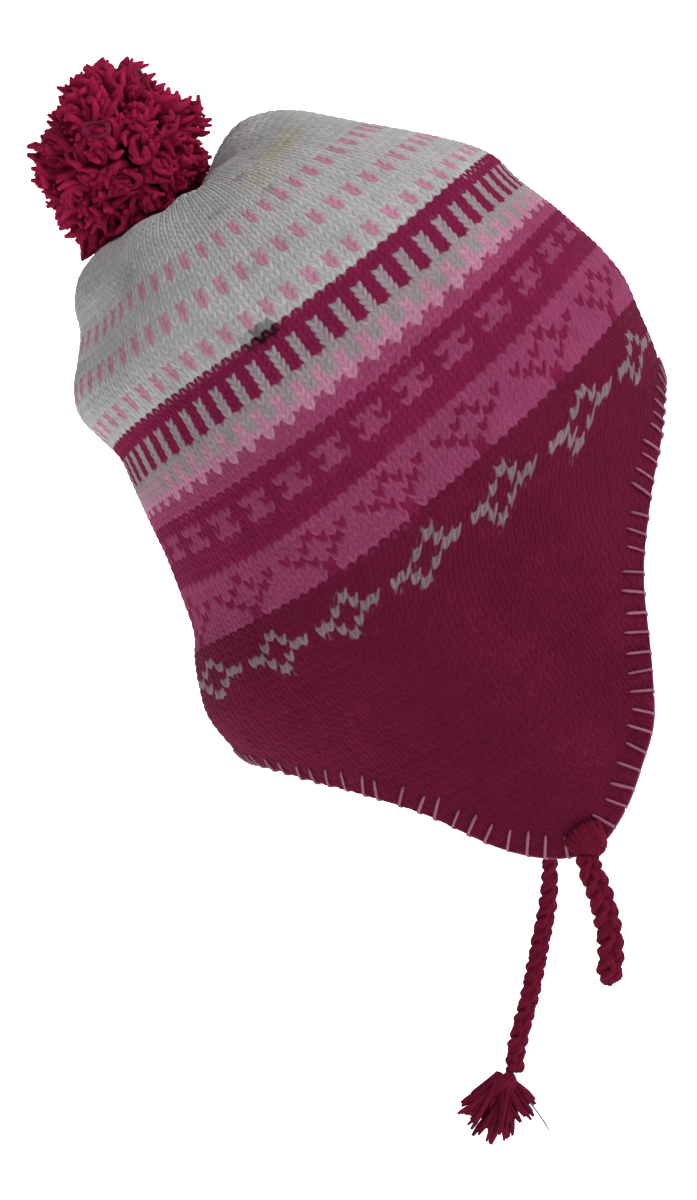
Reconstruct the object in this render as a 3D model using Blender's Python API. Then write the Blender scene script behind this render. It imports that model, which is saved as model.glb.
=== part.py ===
"""Knitted earflap hat with a pompom and two braided ties, as seven closed solids.

The hat keeps the form it has when it is worn and is held up from inside its crown.
Row frame: origin at the head seat inside the crown, +X the way the wearer faces,
+Y the wearer's left, +Z up. The hat is tipped back, so its own axis leans towards -X.
In the hat's own frame u points forward, y to the wearer's left and v up the axis.
"""

import math

import bmesh
import bpy
import numpy as np
from mathutils import Matrix, Vector

# Main sizes, metres and degrees
HALF_LENGTH = 0.105
HALF_WIDTH = 0.080
CROWN_HEIGHT = 0.150
WALL = 0.003
TIP_BACK = 37.0
GAP = 0.0003

# Knitting, counted in rows down from the gathered top
TOP_ROW = 1.3
SEAT_ROW = 14.5
AXIS_SHARE = 0.038
GATHER_SHARE = 0.048
FULLNESS = 0.05

# Shape of the wall: shares of HALF_LENGTH, CROWN_HEIGHT and HALF_WIDTH at each row
PROFILE_COLUMNS = ("row", "front", "front_up", "back", "back_up", "side", "side_up")
PROFILE = (
    (0, 0.048, 1.033, -0.048, 1.033, 0.000, 1.033),
    (3, 0.139, 1.069, 0.048, 1.042, 0.114, 1.041),
    (6, 0.230, 1.104, 0.143, 1.056, 0.228, 1.044),
    (9, 0.330, 1.122, 0.237, 1.070, 0.342, 1.039),
    (12, 0.429, 1.103, 0.333, 1.080, 0.452, 1.022),
    (15, 0.514, 1.061, 0.420, 1.062, 0.552, 0.993),
    (18, 0.583, 1.006, 0.489, 1.015, 0.643, 0.957),
    (21, 0.649, 0.950, 0.530, 0.954, 0.724, 0.914),
    (24, 0.720, 0.895, 0.593, 0.904, 0.786, 0.860),
    (27, 0.793, 0.840, 0.659, 0.855, 0.839, 0.801),
    (30, 0.855, 0.791, 0.696, 0.795, 0.880, 0.741),
    (33, 0.908, 0.743, 0.686, 0.730, 0.911, 0.680),
    (36, 0.944, 0.693, 0.674, 0.664, 0.937, 0.619),
    (39, 0.956, 0.630, 0.690, 0.610, 0.955, 0.565),
    (42, 0.978, 0.575, 0.708, 0.556, 0.968, 0.510),
    (46, 1.002, 0.516, 0.730, 0.484, 0.984, 0.437),
    (50, 1.022, 0.449, 0.751, 0.412, 0.995, 0.363),
    (54, 1.041, 0.373, 0.787, 0.323, 1.002, 0.289),
    (58, 1.044, 0.289, 0.829, 0.233, 1.006, 0.213),
    (62, 1.017, 0.207, 0.882, 0.180, 1.005, 0.138),
    (66, 0.990, 0.130, 0.928, 0.119, 1.001, 0.061),
    (70, 0.954, 0.056, 0.962, 0.053, 0.996, -0.015),
    (74, 0.928, -0.020, 0.960, -0.032, 0.989, -0.093),
    (80, 0.909, -0.137, 0.917, -0.153, 0.976, -0.209),
    (88, 0.893, -0.293, 0.881, -0.310, 0.954, -0.364),
    (96, 0.884, -0.449, 0.852, -0.468, 0.933, -0.520),
    (104, 0.877, -0.608, 0.830, -0.626, 0.916, -0.674),
    (114, 0.869, -0.813, 0.821, -0.827, 0.903, -0.827),
)

# Lower edge: the last row of knitting at each turn, 0 at the back, 90 at a side, 180 at the front
EDGE_COLUMNS = ("turn", "row")
EDGE = (
    (0, 76.8),
    (14, 77.6),
    (27, 81.1),
    (41, 86.2),
    (50, 91.3),
    (58, 98.2),
    (66, 102.5),
    (75, 104.4),
    (83, 102.9),
    (92, 99.6),
    (100, 96.2),
    (106, 91.6),
    (115, 84.4),
    (128, 78.5),
    (145, 74.3),
    (160, 71.4),
    (180, 70.3),
)

# Gathers under the pompom
GATHERS = 13
GATHER_DEPTH = 0.0016
GATHER_ROW = 5.0
GATHER_REACH = 6.0

# Soft dents and swellings: depth below the smooth wall as a share of HALF_WIDTH, swellings below zero
DENT_COLUMNS = ("turn", "row", "half_turn", "half_rows", "depth")
DENTS = (
    (122, 12, 14, 6, 0.0325),
    (62, 15, 12, 5, -0.0250),
    (36, 23, 14, 5, 0.0300),
    (24, 31, 16, 5, -0.0225),
    (98, 21, 16, 5, 0.0150),
    (148, 24, 18, 7, -0.0150),
    (208, 22, 16, 5, 0.0275),
    (248, 14, 15, 6, 0.0300),
    (300, 17, 14, 6, -0.0250),
    (330, 27, 16, 6, 0.0250),
    (95, 88, 26, 12, -0.0175),
    (265, 88, 26, 12, -0.0175),
)

# Mesh of the wall
TURNS = 72
RINGS = 27
ROUND_ROWS = 0.2

# Pompom, in the row frame about its own centre
POMPOM_BACK = 0.0112
POMPOM_UP = 0.0297
POMPOM_RADIUS = 0.0352
POMPOM_CORE = 0.80
POMPOM_GAP = 0.0010
LOCKS = 52
LOCK_HALF_ANGLE = 19.0
POMPOM_OUTLINE_COLUMNS = ("turn", "reach")
POMPOM_OUTLINE = (
    (0, 0.95),
    (15, 0.86),
    (32, 0.98),
    (45, 0.99),
    (60, 0.86),
    (75, 0.86),
    (90, 1.03),
    (105, 1.00),
    (120, 1.01),
    (135, 0.91),
    (150, 0.89),
    (165, 0.84),
    (180, 0.90),
    (195, 0.94),
    (210, 1.02),
    (225, 0.98),
    (240, 1.10),
    (255, 1.16),
    (270, 1.08),
    (285, 0.90),
    (300, 0.80),
    (318, 0.74),
    (342, 0.76),
    (360, 0.95),
)

# Ties: the sewn root on the outside of each flap, then a braid that hangs straight down
TIE_TURN = 75.0
ROOT_ABOVE_EDGE = 1.1
ROOT_HALF_WIDTH = 0.0056
ROOT_HALF_HEIGHT = 0.0062
ROOT_THICK = 0.0038
ROOT_FLATTEN = 0.86
ROOT_ROUNDS = 4
ROOT_SIDES = 20
TIE_DIAMETER = 0.0070
TIE_CLEAR = 0.0003
TIE_COLUMNS = ("drop", "forward", "outward")
TIE_RIGHT_LENGTH = 0.0410
TIE_RIGHT = (
    (0.000, 0.000, 0.000),
    (0.050, 0.001, 0.000),
    (0.148, 0.040, 0.004),
    (0.243, 0.080, 0.009),
    (0.330, 0.106, 0.010),
    (0.424, 0.132, 0.009),
    (0.535, 0.155, 0.006),
    (0.629, 0.169, 0.002),
    (0.724, 0.175, -0.001),
    (0.834, 0.172, -0.004),
    (0.921, 0.163, -0.006),
    (1.000, 0.151, -0.008),
)
TIE_LEFT_LENGTH = 0.0946
TIE_LEFT = (
    (0.000, 0.000, 0.000),
    (0.040, 0.000, 0.000),
    (0.090, -0.006, 0.003),
    (0.161, -0.010, 0.008),
    (0.250, -0.012, 0.010),
    (0.322, -0.017, 0.009),
    (0.392, -0.029, 0.006),
    (0.465, -0.045, 0.003),
    (0.538, -0.059, 0.000),
    (0.611, -0.073, -0.003),
    (0.684, -0.089, -0.007),
    (0.757, -0.107, -0.010),
    (0.830, -0.126, -0.010),
    (0.903, -0.143, -0.007),
    (0.955, -0.152, -0.003),
    (1.000, -0.154, 0.000),
)

# Tassel on the left tie: a knot, and locks that run from it, as shares of TASSEL_LENGTH
TASSEL_LENGTH = 0.0236
KNOT_RADIUS = 0.0052
KNOT_BACK = 0.0042
TASSEL_VOXEL = 0.0009
TASSEL_KEEP = 0.16
LOCK_COLUMNS = ("forward", "outward", "drop", "root", "tip")
TASSEL_LOCKS = (
    (-0.814, 0.034, 0.500, 0.178, 0.051),
    (-0.669, 0.233, 0.678, 0.186, 0.068),
    (-0.542, -0.191, 0.805, 0.186, 0.068),
    (-0.297, 0.064, 1.000, 0.195, 0.055),
    (-0.169, 0.275, 0.847, 0.186, 0.076),
    (-0.127, -0.233, 0.869, 0.186, 0.076),
    (0.025, 0.034, 0.983, 0.169, 0.064),
    (0.466, 0.085, 0.466, 0.153, 0.127),
    (0.424, -0.085, 0.614, 0.144, 0.085),
)

# Colours, linear
MAGENTA = (0.300, 0.012, 0.075, 1.0)
PALE_GREY = (0.520, 0.500, 0.490, 1.0)


def column(table, names, name):
    return np.array([row[names.index(name)] for row in table], float)


def smooth(x, xs, ys):
    """The value at x of a smooth curve through the points (xs, ys)."""
    span = np.diff(xs)
    slope = np.diff(ys) / span
    lean = np.empty(len(ys))
    lean[0] = slope[0]
    lean[-1] = slope[-1]
    lean[1:-1] = (slope[:-1] * span[1:] + slope[1:] * span[:-1]) / (span[:-1] + span[1:])
    x = np.clip(x, xs[0], xs[-1])
    i = np.clip(np.searchsorted(xs, x, side="right") - 1, 0, len(xs) - 2)
    t = (x - xs[i]) / span[i]
    start = (1 + 2 * t) * (1 - t) ** 2 * ys[i] + t * (1 - t) ** 2 * span[i] * lean[i]
    return start + t * t * (3 - 2 * t) * ys[i + 1] + t * t * (t - 1) * span[i] * lean[i + 1]


def profile(name, row):
    return smooth(row, column(PROFILE, PROFILE_COLUMNS, "row"), column(PROFILE, PROFILE_COLUMNS, name))


def edge_row(turn):
    """The last row of knitting at a turn in radians, the same on both sides."""
    degrees = np.abs((np.degrees(turn) + 180.0) % 360.0 - 180.0)
    return smooth(degrees, column(EDGE, EDGE_COLUMNS, "turn"), column(EDGE, EDGE_COLUMNS, "row"))


def smooth_wall(turn, row):
    """Points of the outer face in the hat's own frame, without folds."""
    c = np.cos(turn)
    s = np.sin(turn)
    reach = np.abs(c) * (1 + FULLNESS * s * s)
    settle = np.clip(row / 30.0, 0, 1)
    middle = HALF_LENGTH * (AXIS_SHARE * settle + GATHER_SHARE * (1 - settle))
    front = HALF_LENGTH * profile("front", row)
    back = -HALF_LENGTH * profile("back", row)
    u = middle + reach * np.where(c < 0, front - middle, back - middle)
    y = -HALF_WIDTH * profile("side", row) * s * (1 + FULLNESS * c * c)
    ends = np.where(c < 0, profile("front_up", row), profile("back_up", row))
    v = CROWN_HEIGHT * (c * c * ends + s * s * profile("side_up", row))
    return np.stack([u, y, v], axis=-1)


def outward(turn, row):
    """Unit normals of the smooth wall, facing out."""
    step = 0.02
    low = np.maximum(row - 0.6, 0.4)
    around = smooth_wall(turn + step, row) - smooth_wall(turn - step, row)
    down = smooth_wall(turn, row + 0.6) - smooth_wall(turn, low)
    normal = np.cross(down, around)
    return normal / np.maximum(np.linalg.norm(normal, axis=-1, keepdims=True), 1e-12)


def fold(turn, row):
    """How far the folds push the wall out, in metres."""
    swing = GATHERS * turn + 0.8 * np.sin(2 * turn)
    near = row / (row + 2.0) * np.exp(-(((row - GATHER_ROW) / GATHER_REACH) ** 2))
    out = GATHER_DEPTH * near * np.cos(swing)
    for at, level, half_turn, half_rows, depth in DENTS:
        away = (np.degrees(turn) - at + 180.0) % 360.0 - 180.0
        out = out - HALF_WIDTH * depth * np.exp(-((away / half_turn) ** 2) - ((row - level) / half_rows) ** 2)
    return out


def wall_point(turn, row, inside=0.0):
    """Points of the wall, inside metres below its outer face."""
    turn = np.asarray(turn, float)
    row = np.asarray(row, float)
    push = fold(turn, row) * (1 - 0.35 * min(inside / WALL, 1.0)) - inside
    return smooth_wall(turn, row) + outward(turn, row) * push[..., None]


def to_world(points, seat):
    """Hat frame to row frame: tipped back about the head seat."""
    tip = math.radians(TIP_BACK)
    moved = np.asarray(points, float) - seat
    x = math.cos(tip) * moved[..., 0] - math.sin(tip) * moved[..., 2]
    z = math.sin(tip) * moved[..., 0] + math.cos(tip) * moved[..., 2]
    return np.stack([x, moved[..., 1], z], axis=-1)


def material(name, colour, roughness):
    made = bpy.data.materials.new(name)
    made.use_nodes = True
    shader = made.node_tree.nodes["Principled BSDF"]
    shader.inputs["Base Color"].default_value = colour
    shader.inputs["Roughness"].default_value = roughness
    return made


def add_mesh(name, points, faces, look):
    """A closed mesh object from points and faces, with its faces turned out."""
    mesh = bpy.data.meshes.new(name)
    mesh.from_pydata([tuple(p) for p in points], [], faces)
    build = bmesh.new()
    build.from_mesh(mesh)
    bmesh.ops.recalc_face_normals(build, faces=build.faces)
    build.to_mesh(mesh)
    build.free()
    mesh.materials.append(look)
    made = bpy.data.objects.new(name, mesh)
    bpy.context.scene.collection.objects.link(made)
    return made


def ring_faces(first, second, count):
    return [
        (first + j, first + (j + 1) % count, second + (j + 1) % count, second + j)
        for j in range(count)
    ]


def fan_faces(pole, ring, count):
    return [(pole, ring + j, ring + (j + 1) % count) for j in range(count)]


def hat_wall(seat, look):
    """The knitted wall: crown, sides and both flaps, one piece with an open bottom."""
    turns = 2 * math.pi * np.arange(TURNS) / TURNS
    last = edge_row(turns)
    points = []
    for inside in (0.0, WALL):
        points.append(to_world(wall_point(0.0, 0.01, inside), seat))
        for k in range(RINGS):
            share = k / (RINGS - 1)
            rows = TOP_ROW + (last - TOP_ROW) * (0.55 * share + 0.45 * share ** 1.35)
            points.extend(to_world(wall_point(turns, rows, inside), seat))
    middle = wall_point(turns, last + ROUND_ROWS, WALL / 2)
    edge = len(points)
    points.extend(to_world(middle, seat))
    block = 1 + RINGS * TURNS
    faces = []
    for start in (0, block):
        faces += fan_faces(start, start + 1, TURNS)
        for k in range(RINGS - 1):
            faces += ring_faces(start + 1 + k * TURNS, start + 1 + (k + 1) * TURNS, TURNS)
    faces += ring_faces(block - TURNS, edge, TURNS)
    faces += ring_faces(edge, 2 * block - TURNS, TURNS)
    return add_mesh("hat_body", points, faces, look)


def spread_directions(count):
    """Directions spread evenly over a ball."""
    k = np.arange(count) + 0.5
    up = 1 - 2 * k / count
    turn = math.pi * (1 + math.sqrt(5)) * k
    flat = np.sqrt(1 - up * up)
    return np.stack([flat * np.cos(turn), flat * np.sin(turn), up], axis=1)


def pompom(seat, look):
    """A ball of yarn locks fused to one head, pressed onto the gathered top."""
    build = bmesh.new()
    bmesh.ops.create_icosphere(build, subdivisions=4, radius=1.0)
    way = np.array([tuple(v.co.normalized()) for v in build.verts])
    shaker = np.random.default_rng(7)
    locks = spread_directions(LOCKS) + shaker.normal(0, 0.10, (LOCKS, 3))
    locks /= np.linalg.norm(locks, axis=1, keepdims=True)
    tall = shaker.uniform(0.75, 1.0, LOCKS)
    angle = np.degrees(np.arccos(np.clip(way @ locks.T, -1, 1)))
    lump = (tall * np.clip(1 - (angle / LOCK_HALF_ANGLE) ** 2, 0, 1)).max(axis=1)
    around = np.degrees(np.arctan2(way[:, 2], way[:, 0])) % 360.0
    reach = smooth(
        around,
        column(POMPOM_OUTLINE, POMPOM_OUTLINE_COLUMNS, "turn"),
        column(POMPOM_OUTLINE, POMPOM_OUTLINE_COLUMNS, "reach"),
    )
    level = np.hypot(way[:, 0], way[:, 2]) ** 2
    reach = level * reach + (1 - level)
    length = POMPOM_RADIUS * reach * (POMPOM_CORE + (1 - POMPOM_CORE) * lump)
    top = to_world(wall_point(0.0, 0.01), seat)
    tip = math.radians(TIP_BACK)
    up = np.array([-math.sin(tip), 0.0, math.cos(tip)])
    forward = np.array([math.cos(tip), 0.0, math.sin(tip)])
    centre = top + up * POMPOM_UP - forward * POMPOM_BACK
    points = centre + way * length[:, None]
    points = lifted(points, seat)
    for vertex, point in zip(build.verts, points):
        vertex.co = point
    mesh = bpy.data.meshes.new("pompom")
    build.to_mesh(mesh)
    build.free()
    mesh.materials.append(look)
    made = bpy.data.objects.new("pompom", mesh)
    bpy.context.scene.collection.objects.link(made)
    return made


def lifted(points, seat):
    """The points moved out of the crown to POMPOM_GAP above it."""
    turns, rows = np.meshgrid(np.radians(np.arange(0, 360, 4)), np.linspace(0.5, 26, 60))
    crown = to_world(wall_point(turns.ravel(), rows.ravel()), seat)
    normal = to_world(outward(turns.ravel(), rows.ravel()) + seat, seat)
    moved = points.copy()
    for _ in range(3):
        for i, point in enumerate(moved):
            nearest = int(((crown - point) ** 2).sum(axis=1).argmin())
            above = float((point - crown[nearest]) @ normal[nearest])
            if above < POMPOM_GAP:
                moved[i] = point + normal[nearest] * (POMPOM_GAP - above)
    return moved


def tie_turn(side):
    """The turn of a flap's tie: side is 1 for the wearer's right and -1 for the left."""
    return math.radians(TIE_TURN) * side


def root_points(side, seat):
    """Points of the pad: a middle point and rings outside, then the same against the flap."""
    turn = tie_turn(side)
    centre_row = float(edge_row(np.array(turn))) - ROOT_ABOVE_EDGE
    base = wall_point(turn, centre_row)
    per_turn = np.linalg.norm(wall_point(turn + 0.01, centre_row) - base) / 0.01
    per_row = np.linalg.norm(wall_point(turn, centre_row + 1.0) - base)
    points = []
    for thick in (ROOT_THICK, 0.0):
        points.append(to_world(wall_point(turn, centre_row, -GAP - thick), seat))
        for k in range(1, ROOT_ROUNDS + 1):
            ring = k / ROOT_ROUNDS
            height = GAP + thick * math.sqrt(1 - ROOT_FLATTEN * ring * ring)
            for j in range(ROOT_SIDES):
                a = 2 * math.pi * j / ROOT_SIDES
                across = ROOT_HALF_WIDTH * ring * math.cos(a) * (1 - 0.16 * math.sin(a))
                along = ROOT_HALF_HEIGHT * ring * math.sin(a)
                place = wall_point(turn + across / per_turn, centre_row + along / per_row, -height)
                points.append(to_world(place, seat))
    return points


def tie_root(name, side, seat, look):
    """The flattened pad of yarn where a tie is sewn through the flap."""
    block = 1 + ROOT_ROUNDS * ROOT_SIDES
    faces = []
    for start in (0, block):
        faces += fan_faces(start, start + 1, ROOT_SIDES)
        for k in range(ROOT_ROUNDS - 1):
            faces += ring_faces(start + 1 + k * ROOT_SIDES, start + 1 + (k + 1) * ROOT_SIDES, ROOT_SIDES)
    faces += ring_faces(block - ROOT_SIDES, 2 * block - ROOT_SIDES, ROOT_SIDES)
    return add_mesh(name, root_points(side, seat), faces, look)


def tie_start(side, seat):
    """Where a tie leaves its root: below the pad and the flap's tip, in the row frame."""
    pad = np.array(root_points(side, seat))
    turns = tie_turn(side) + np.linspace(-0.5, 0.5, 41)
    rim = to_world(wall_point(turns, edge_row(turns) + ROUND_ROWS, WALL / 2), seat)
    low = min(pad[:, 2].min(), rim[:, 2].min()) - TIE_CLEAR
    return np.array([pad[:, 0].mean(), pad[:, 1].mean(), low])


def tie_path(side, table, length, seat):
    """Points down the middle of a hanging tie, in the row frame."""
    start = tie_start(side, seat)
    drop = length * column(table, TIE_COLUMNS, "drop")
    forward = length * column(table, TIE_COLUMNS, "forward")
    out = length * column(table, TIE_COLUMNS, "outward") * -side
    return start + np.stack([forward, out, -drop], axis=1)


def tie_cord(name, path, look):
    """One tie's braid, as a round cord with closed ends."""
    data = bpy.data.curves.new(name, "CURVE")
    data.dimensions = "3D"
    data.bevel_depth = TIE_DIAMETER / 2
    data.bevel_resolution = 3
    data.use_fill_caps = True
    line = data.splines.new("POLY")
    line.points.add(len(path) - 1)
    for point, place in zip(line.points, path):
        point.co = (*place, 1.0)
    data.materials.append(look)
    made = bpy.data.objects.new(name, data)
    bpy.context.scene.collection.objects.link(made)
    return made


def cone_between(build, start, end, root, tip):
    """Adds a closed tapered lock to a bmesh."""
    way = Vector(end) - Vector(start)
    turn = way.to_track_quat("Z", "Y").to_matrix().to_4x4()
    turn.translation = (Vector(start) + Vector(end)) / 2
    bmesh.ops.create_cone(
        build,
        cap_ends=True,
        segments=10,
        radius1=root,
        radius2=tip,
        depth=way.length,
        matrix=turn,
    )


def tassel(name, end, look):
    """A knot with yarn locks fused to it, hanging from the end of a tie."""
    centre = Vector(end) - Vector((KNOT_BACK, 0.0, TIE_CLEAR + KNOT_RADIUS))
    build = bmesh.new()
    middle = Matrix.Translation(centre)
    bmesh.ops.create_uvsphere(build, u_segments=20, v_segments=12, radius=KNOT_RADIUS, matrix=middle)
    for forward, out, drop, root, tip in TASSEL_LENGTH * np.array(TASSEL_LOCKS):
        bend = centre + Vector((forward * 0.42, out * 0.5, -drop * 0.5))
        end_point = centre + Vector((forward, out, -drop))
        cone_between(build, centre, bend, root, root * 0.94)
        cone_between(build, bend, end_point, root * 0.98, tip)
        elbow = Matrix.Translation(bend)
        bmesh.ops.create_uvsphere(build, u_segments=10, v_segments=8, radius=root * 0.96, matrix=elbow)
    mesh = bpy.data.meshes.new(name)
    build.to_mesh(mesh)
    build.free()
    mesh.materials.append(look)
    made = bpy.data.objects.new(name, mesh)
    bpy.context.scene.collection.objects.link(made)
    fuse = made.modifiers.new("Fuse", "REMESH")
    fuse.mode = "VOXEL"
    fuse.voxel_size = TASSEL_VOXEL
    fuse.adaptivity = 0.0
    thin = made.modifiers.new("Thin", "DECIMATE")
    thin.ratio = TASSEL_KEEP
    made.data = outer_skin(made, name)
    made.modifiers.clear()
    return made


def outer_skin(made, name):
    """The modified mesh of an object, without the small closed surfaces inside it."""
    graph = bpy.context.evaluated_depsgraph_get()
    skin = bpy.data.meshes.new_from_object(made.evaluated_get(graph))
    build = bmesh.new()
    build.from_mesh(skin)
    left = set(build.verts)
    groups = []
    while left:
        todo = [left.pop()]
        group = list(todo)
        while todo:
            for edge in todo.pop().link_edges:
                for vertex in edge.verts:
                    if vertex in left:
                        left.remove(vertex)
                        todo.append(vertex)
                        group.append(vertex)
        groups.append(group)
    groups.sort(key=len)
    for group in groups[:-1]:
        bmesh.ops.delete(build, geom=group, context="VERTS")
    build.to_mesh(skin)
    build.free()
    skin.name = name
    return skin


def main():
    for old in list(bpy.data.objects):
        bpy.data.objects.remove(old, do_unlink=True)
    knit = material("knitted_wool", MAGENTA, 0.95)
    yarn = material("pompom_yarn", MAGENTA, 0.95)
    braid = material("tie_yarn", MAGENTA, 0.95)
    seat = wall_point(math.pi, SEAT_ROW, WALL)
    hat_wall(seat, knit)
    pompom(seat, yarn)
    tie_root("tie_root_right", 1, seat, braid)
    tie_root("tie_root_left", -1, seat, braid)
    right = tie_path(1, TIE_RIGHT, TIE_RIGHT_LENGTH, seat)
    left = tie_path(-1, TIE_LEFT, TIE_LEFT_LENGTH, seat)
    tie_cord("tie_cord_right", right, braid)
    tie_cord("tie_cord_left", left, braid)
    tassel("tie_tassel_left", left[-1], braid)


main()
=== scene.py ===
"""Looks of the knitted earflap hat: knitting, pompom, ties, tassel, edge stitches and light."""

import math

import bpy
import numpy as np
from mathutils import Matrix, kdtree


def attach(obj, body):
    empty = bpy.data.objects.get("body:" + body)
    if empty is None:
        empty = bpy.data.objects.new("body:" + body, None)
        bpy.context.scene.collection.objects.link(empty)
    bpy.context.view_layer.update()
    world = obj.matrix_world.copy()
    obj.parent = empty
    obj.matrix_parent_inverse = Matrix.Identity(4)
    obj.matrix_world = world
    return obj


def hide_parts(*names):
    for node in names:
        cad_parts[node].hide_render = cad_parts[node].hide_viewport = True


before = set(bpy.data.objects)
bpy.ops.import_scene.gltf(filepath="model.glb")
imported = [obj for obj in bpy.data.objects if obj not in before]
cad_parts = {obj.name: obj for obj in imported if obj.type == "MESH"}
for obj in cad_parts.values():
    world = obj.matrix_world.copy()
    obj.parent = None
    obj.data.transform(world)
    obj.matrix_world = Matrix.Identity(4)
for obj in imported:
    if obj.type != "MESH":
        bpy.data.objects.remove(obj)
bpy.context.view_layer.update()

# Shape of the hat, as in the part's source
HALF_LENGTH = 0.105
HALF_WIDTH = 0.080
CROWN_HEIGHT = 0.150
WALL = 0.003
TIP_BACK = 37.0
GAP = 0.0003
SEAT_ROW = 14.5
AXIS_SHARE = 0.038
GATHER_SHARE = 0.048
FULLNESS = 0.05
SETTLE_ROWS = 30.0
PROFILE = (
    ("row", "front", "front_up", "back", "back_up", "side", "side_up"),
    (0, 0.048, 1.033, -0.048, 1.033, 0.000, 1.033),
    (3, 0.139, 1.069, 0.048, 1.042, 0.114, 1.041),
    (6, 0.230, 1.104, 0.143, 1.056, 0.228, 1.044),
    (9, 0.330, 1.122, 0.237, 1.070, 0.342, 1.039),
    (12, 0.429, 1.103, 0.333, 1.080, 0.452, 1.022),
    (15, 0.514, 1.061, 0.420, 1.062, 0.552, 0.993),
    (18, 0.583, 1.006, 0.489, 1.015, 0.643, 0.957),
    (21, 0.649, 0.950, 0.530, 0.954, 0.724, 0.914),
    (24, 0.720, 0.895, 0.593, 0.904, 0.786, 0.860),
    (27, 0.793, 0.840, 0.659, 0.855, 0.839, 0.801),
    (30, 0.855, 0.791, 0.696, 0.795, 0.880, 0.741),
    (33, 0.908, 0.743, 0.686, 0.730, 0.911, 0.680),
    (36, 0.944, 0.693, 0.674, 0.664, 0.937, 0.619),
    (39, 0.956, 0.630, 0.690, 0.610, 0.955, 0.565),
    (42, 0.978, 0.575, 0.708, 0.556, 0.968, 0.510),
    (46, 1.002, 0.516, 0.730, 0.484, 0.984, 0.437),
    (50, 1.022, 0.449, 0.751, 0.412, 0.995, 0.363),
    (54, 1.041, 0.373, 0.787, 0.323, 1.002, 0.289),
    (58, 1.044, 0.289, 0.829, 0.233, 1.006, 0.213),
    (62, 1.017, 0.207, 0.882, 0.180, 1.005, 0.138),
    (66, 0.990, 0.130, 0.928, 0.119, 1.001, 0.061),
    (70, 0.954, 0.056, 0.962, 0.053, 0.996, -0.015),
    (74, 0.928, -0.020, 0.960, -0.032, 0.989, -0.093),
    (80, 0.909, -0.137, 0.917, -0.153, 0.976, -0.209),
    (88, 0.893, -0.293, 0.881, -0.310, 0.954, -0.364),
    (96, 0.884, -0.449, 0.852, -0.468, 0.933, -0.520),
    (104, 0.877, -0.608, 0.830, -0.626, 0.916, -0.674),
    (114, 0.869, -0.813, 0.821, -0.827, 0.903, -0.827),
)
EDGE = (
    ("turn", "row"),
    (0, 76.8), (14, 77.6), (27, 81.1), (41, 86.2), (50, 91.3), (58, 98.2),
    (66, 102.5), (75, 104.4), (83, 102.9), (92, 99.6), (100, 96.2), (106, 91.6),
    (115, 84.4), (128, 78.5), (145, 74.3), (160, 71.4), (180, 70.3),
)
GATHERS = 13
GATHER_DEPTH = 0.0016
GATHER_ROW = 5.0
GATHER_REACH = 6.0
GATHER_SWAY = 0.8
GATHER_START = 2.0
INSIDE_SMOOTHER = 0.35
# Turn, row, half turn and half rows that a dent reaches, and its depth
DENTS = (
    (122, 12, 14, 6, 0.0026),
    (62, 15, 12, 5, -0.0020),
    (36, 23, 14, 5, 0.0024),
    (24, 31, 16, 5, -0.0018),
    (98, 21, 16, 5, 0.0012),
    (148, 24, 18, 7, -0.0012),
    (208, 22, 16, 5, 0.0022),
    (248, 14, 15, 6, 0.0024),
    (300, 17, 14, 6, -0.0020),
    (330, 27, 16, 6, 0.0020),
    (95, 88, 26, 12, -0.0014),
    (265, 88, 26, 12, -0.0014),
)
ROUND_ROWS = 0.2
NORMAL_TURN = 0.02
NORMAL_ROWS = 0.6
NORMAL_FIRST_ROW = 0.4
POMPOM_BACK = 0.0112
POMPOM_UP = 0.0297
POMPOM_RADIUS = 0.0352
POMPOM_GAP = 0.0010
POMPOM_OUTLINE = (
    ("turn", "reach"),
    (0, 0.95), (15, 0.86), (32, 0.98), (45, 0.99), (60, 0.86), (75, 0.86),
    (90, 1.03), (105, 1.00), (120, 1.01), (135, 0.91), (150, 0.89), (165, 0.84),
    (180, 0.90), (195, 0.94), (210, 1.02), (225, 0.98), (240, 1.10), (255, 1.16),
    (270, 1.08), (285, 0.90), (300, 0.80), (318, 0.74), (342, 0.76), (360, 0.95),
)
TIE_TURN = 75.0
ROOT_ABOVE_EDGE = 1.1
ROOT_HALF_WIDTH = 0.0056
ROOT_HALF_HEIGHT = 0.0062
ROOT_THICK = 0.0038
ROOT_FLATTEN = 0.86
ROOT_TAPER = 0.16
ROOT_ROUNDS = 4
ROOT_SIDES = 20
TIE_CLEAR = 0.0003
TIE_RIGHT_LENGTH = 0.0410
TIE_RIGHT = (
    ("drop", "forward", "outward"),
    (0.000, 0.000, 0.000),
    (0.050, 0.001, 0.000),
    (0.148, 0.040, 0.004),
    (0.243, 0.080, 0.009),
    (0.330, 0.106, 0.010),
    (0.424, 0.132, 0.009),
    (0.535, 0.155, 0.006),
    (0.629, 0.169, 0.002),
    (0.724, 0.175, -0.001),
    (0.834, 0.172, -0.004),
    (0.921, 0.163, -0.006),
    (1.000, 0.151, -0.008),
)
TIE_LEFT_LENGTH = 0.0946
TIE_LEFT = (
    ("drop", "forward", "outward"),
    (0.000, 0.000, 0.000),
    (0.040, 0.000, 0.000),
    (0.090, -0.006, 0.003),
    (0.161, -0.010, 0.008),
    (0.250, -0.012, 0.010),
    (0.322, -0.017, 0.009),
    (0.392, -0.029, 0.006),
    (0.465, -0.045, 0.003),
    (0.538, -0.059, 0.000),
    (0.611, -0.073, -0.003),
    (0.684, -0.089, -0.007),
    (0.757, -0.107, -0.010),
    (0.830, -0.126, -0.010),
    (0.903, -0.143, -0.007),
    (0.955, -0.152, -0.003),
    (1.000, -0.154, 0.000),
)
KNOT_RADIUS = 0.0052
KNOT_BACK = 0.0042
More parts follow.
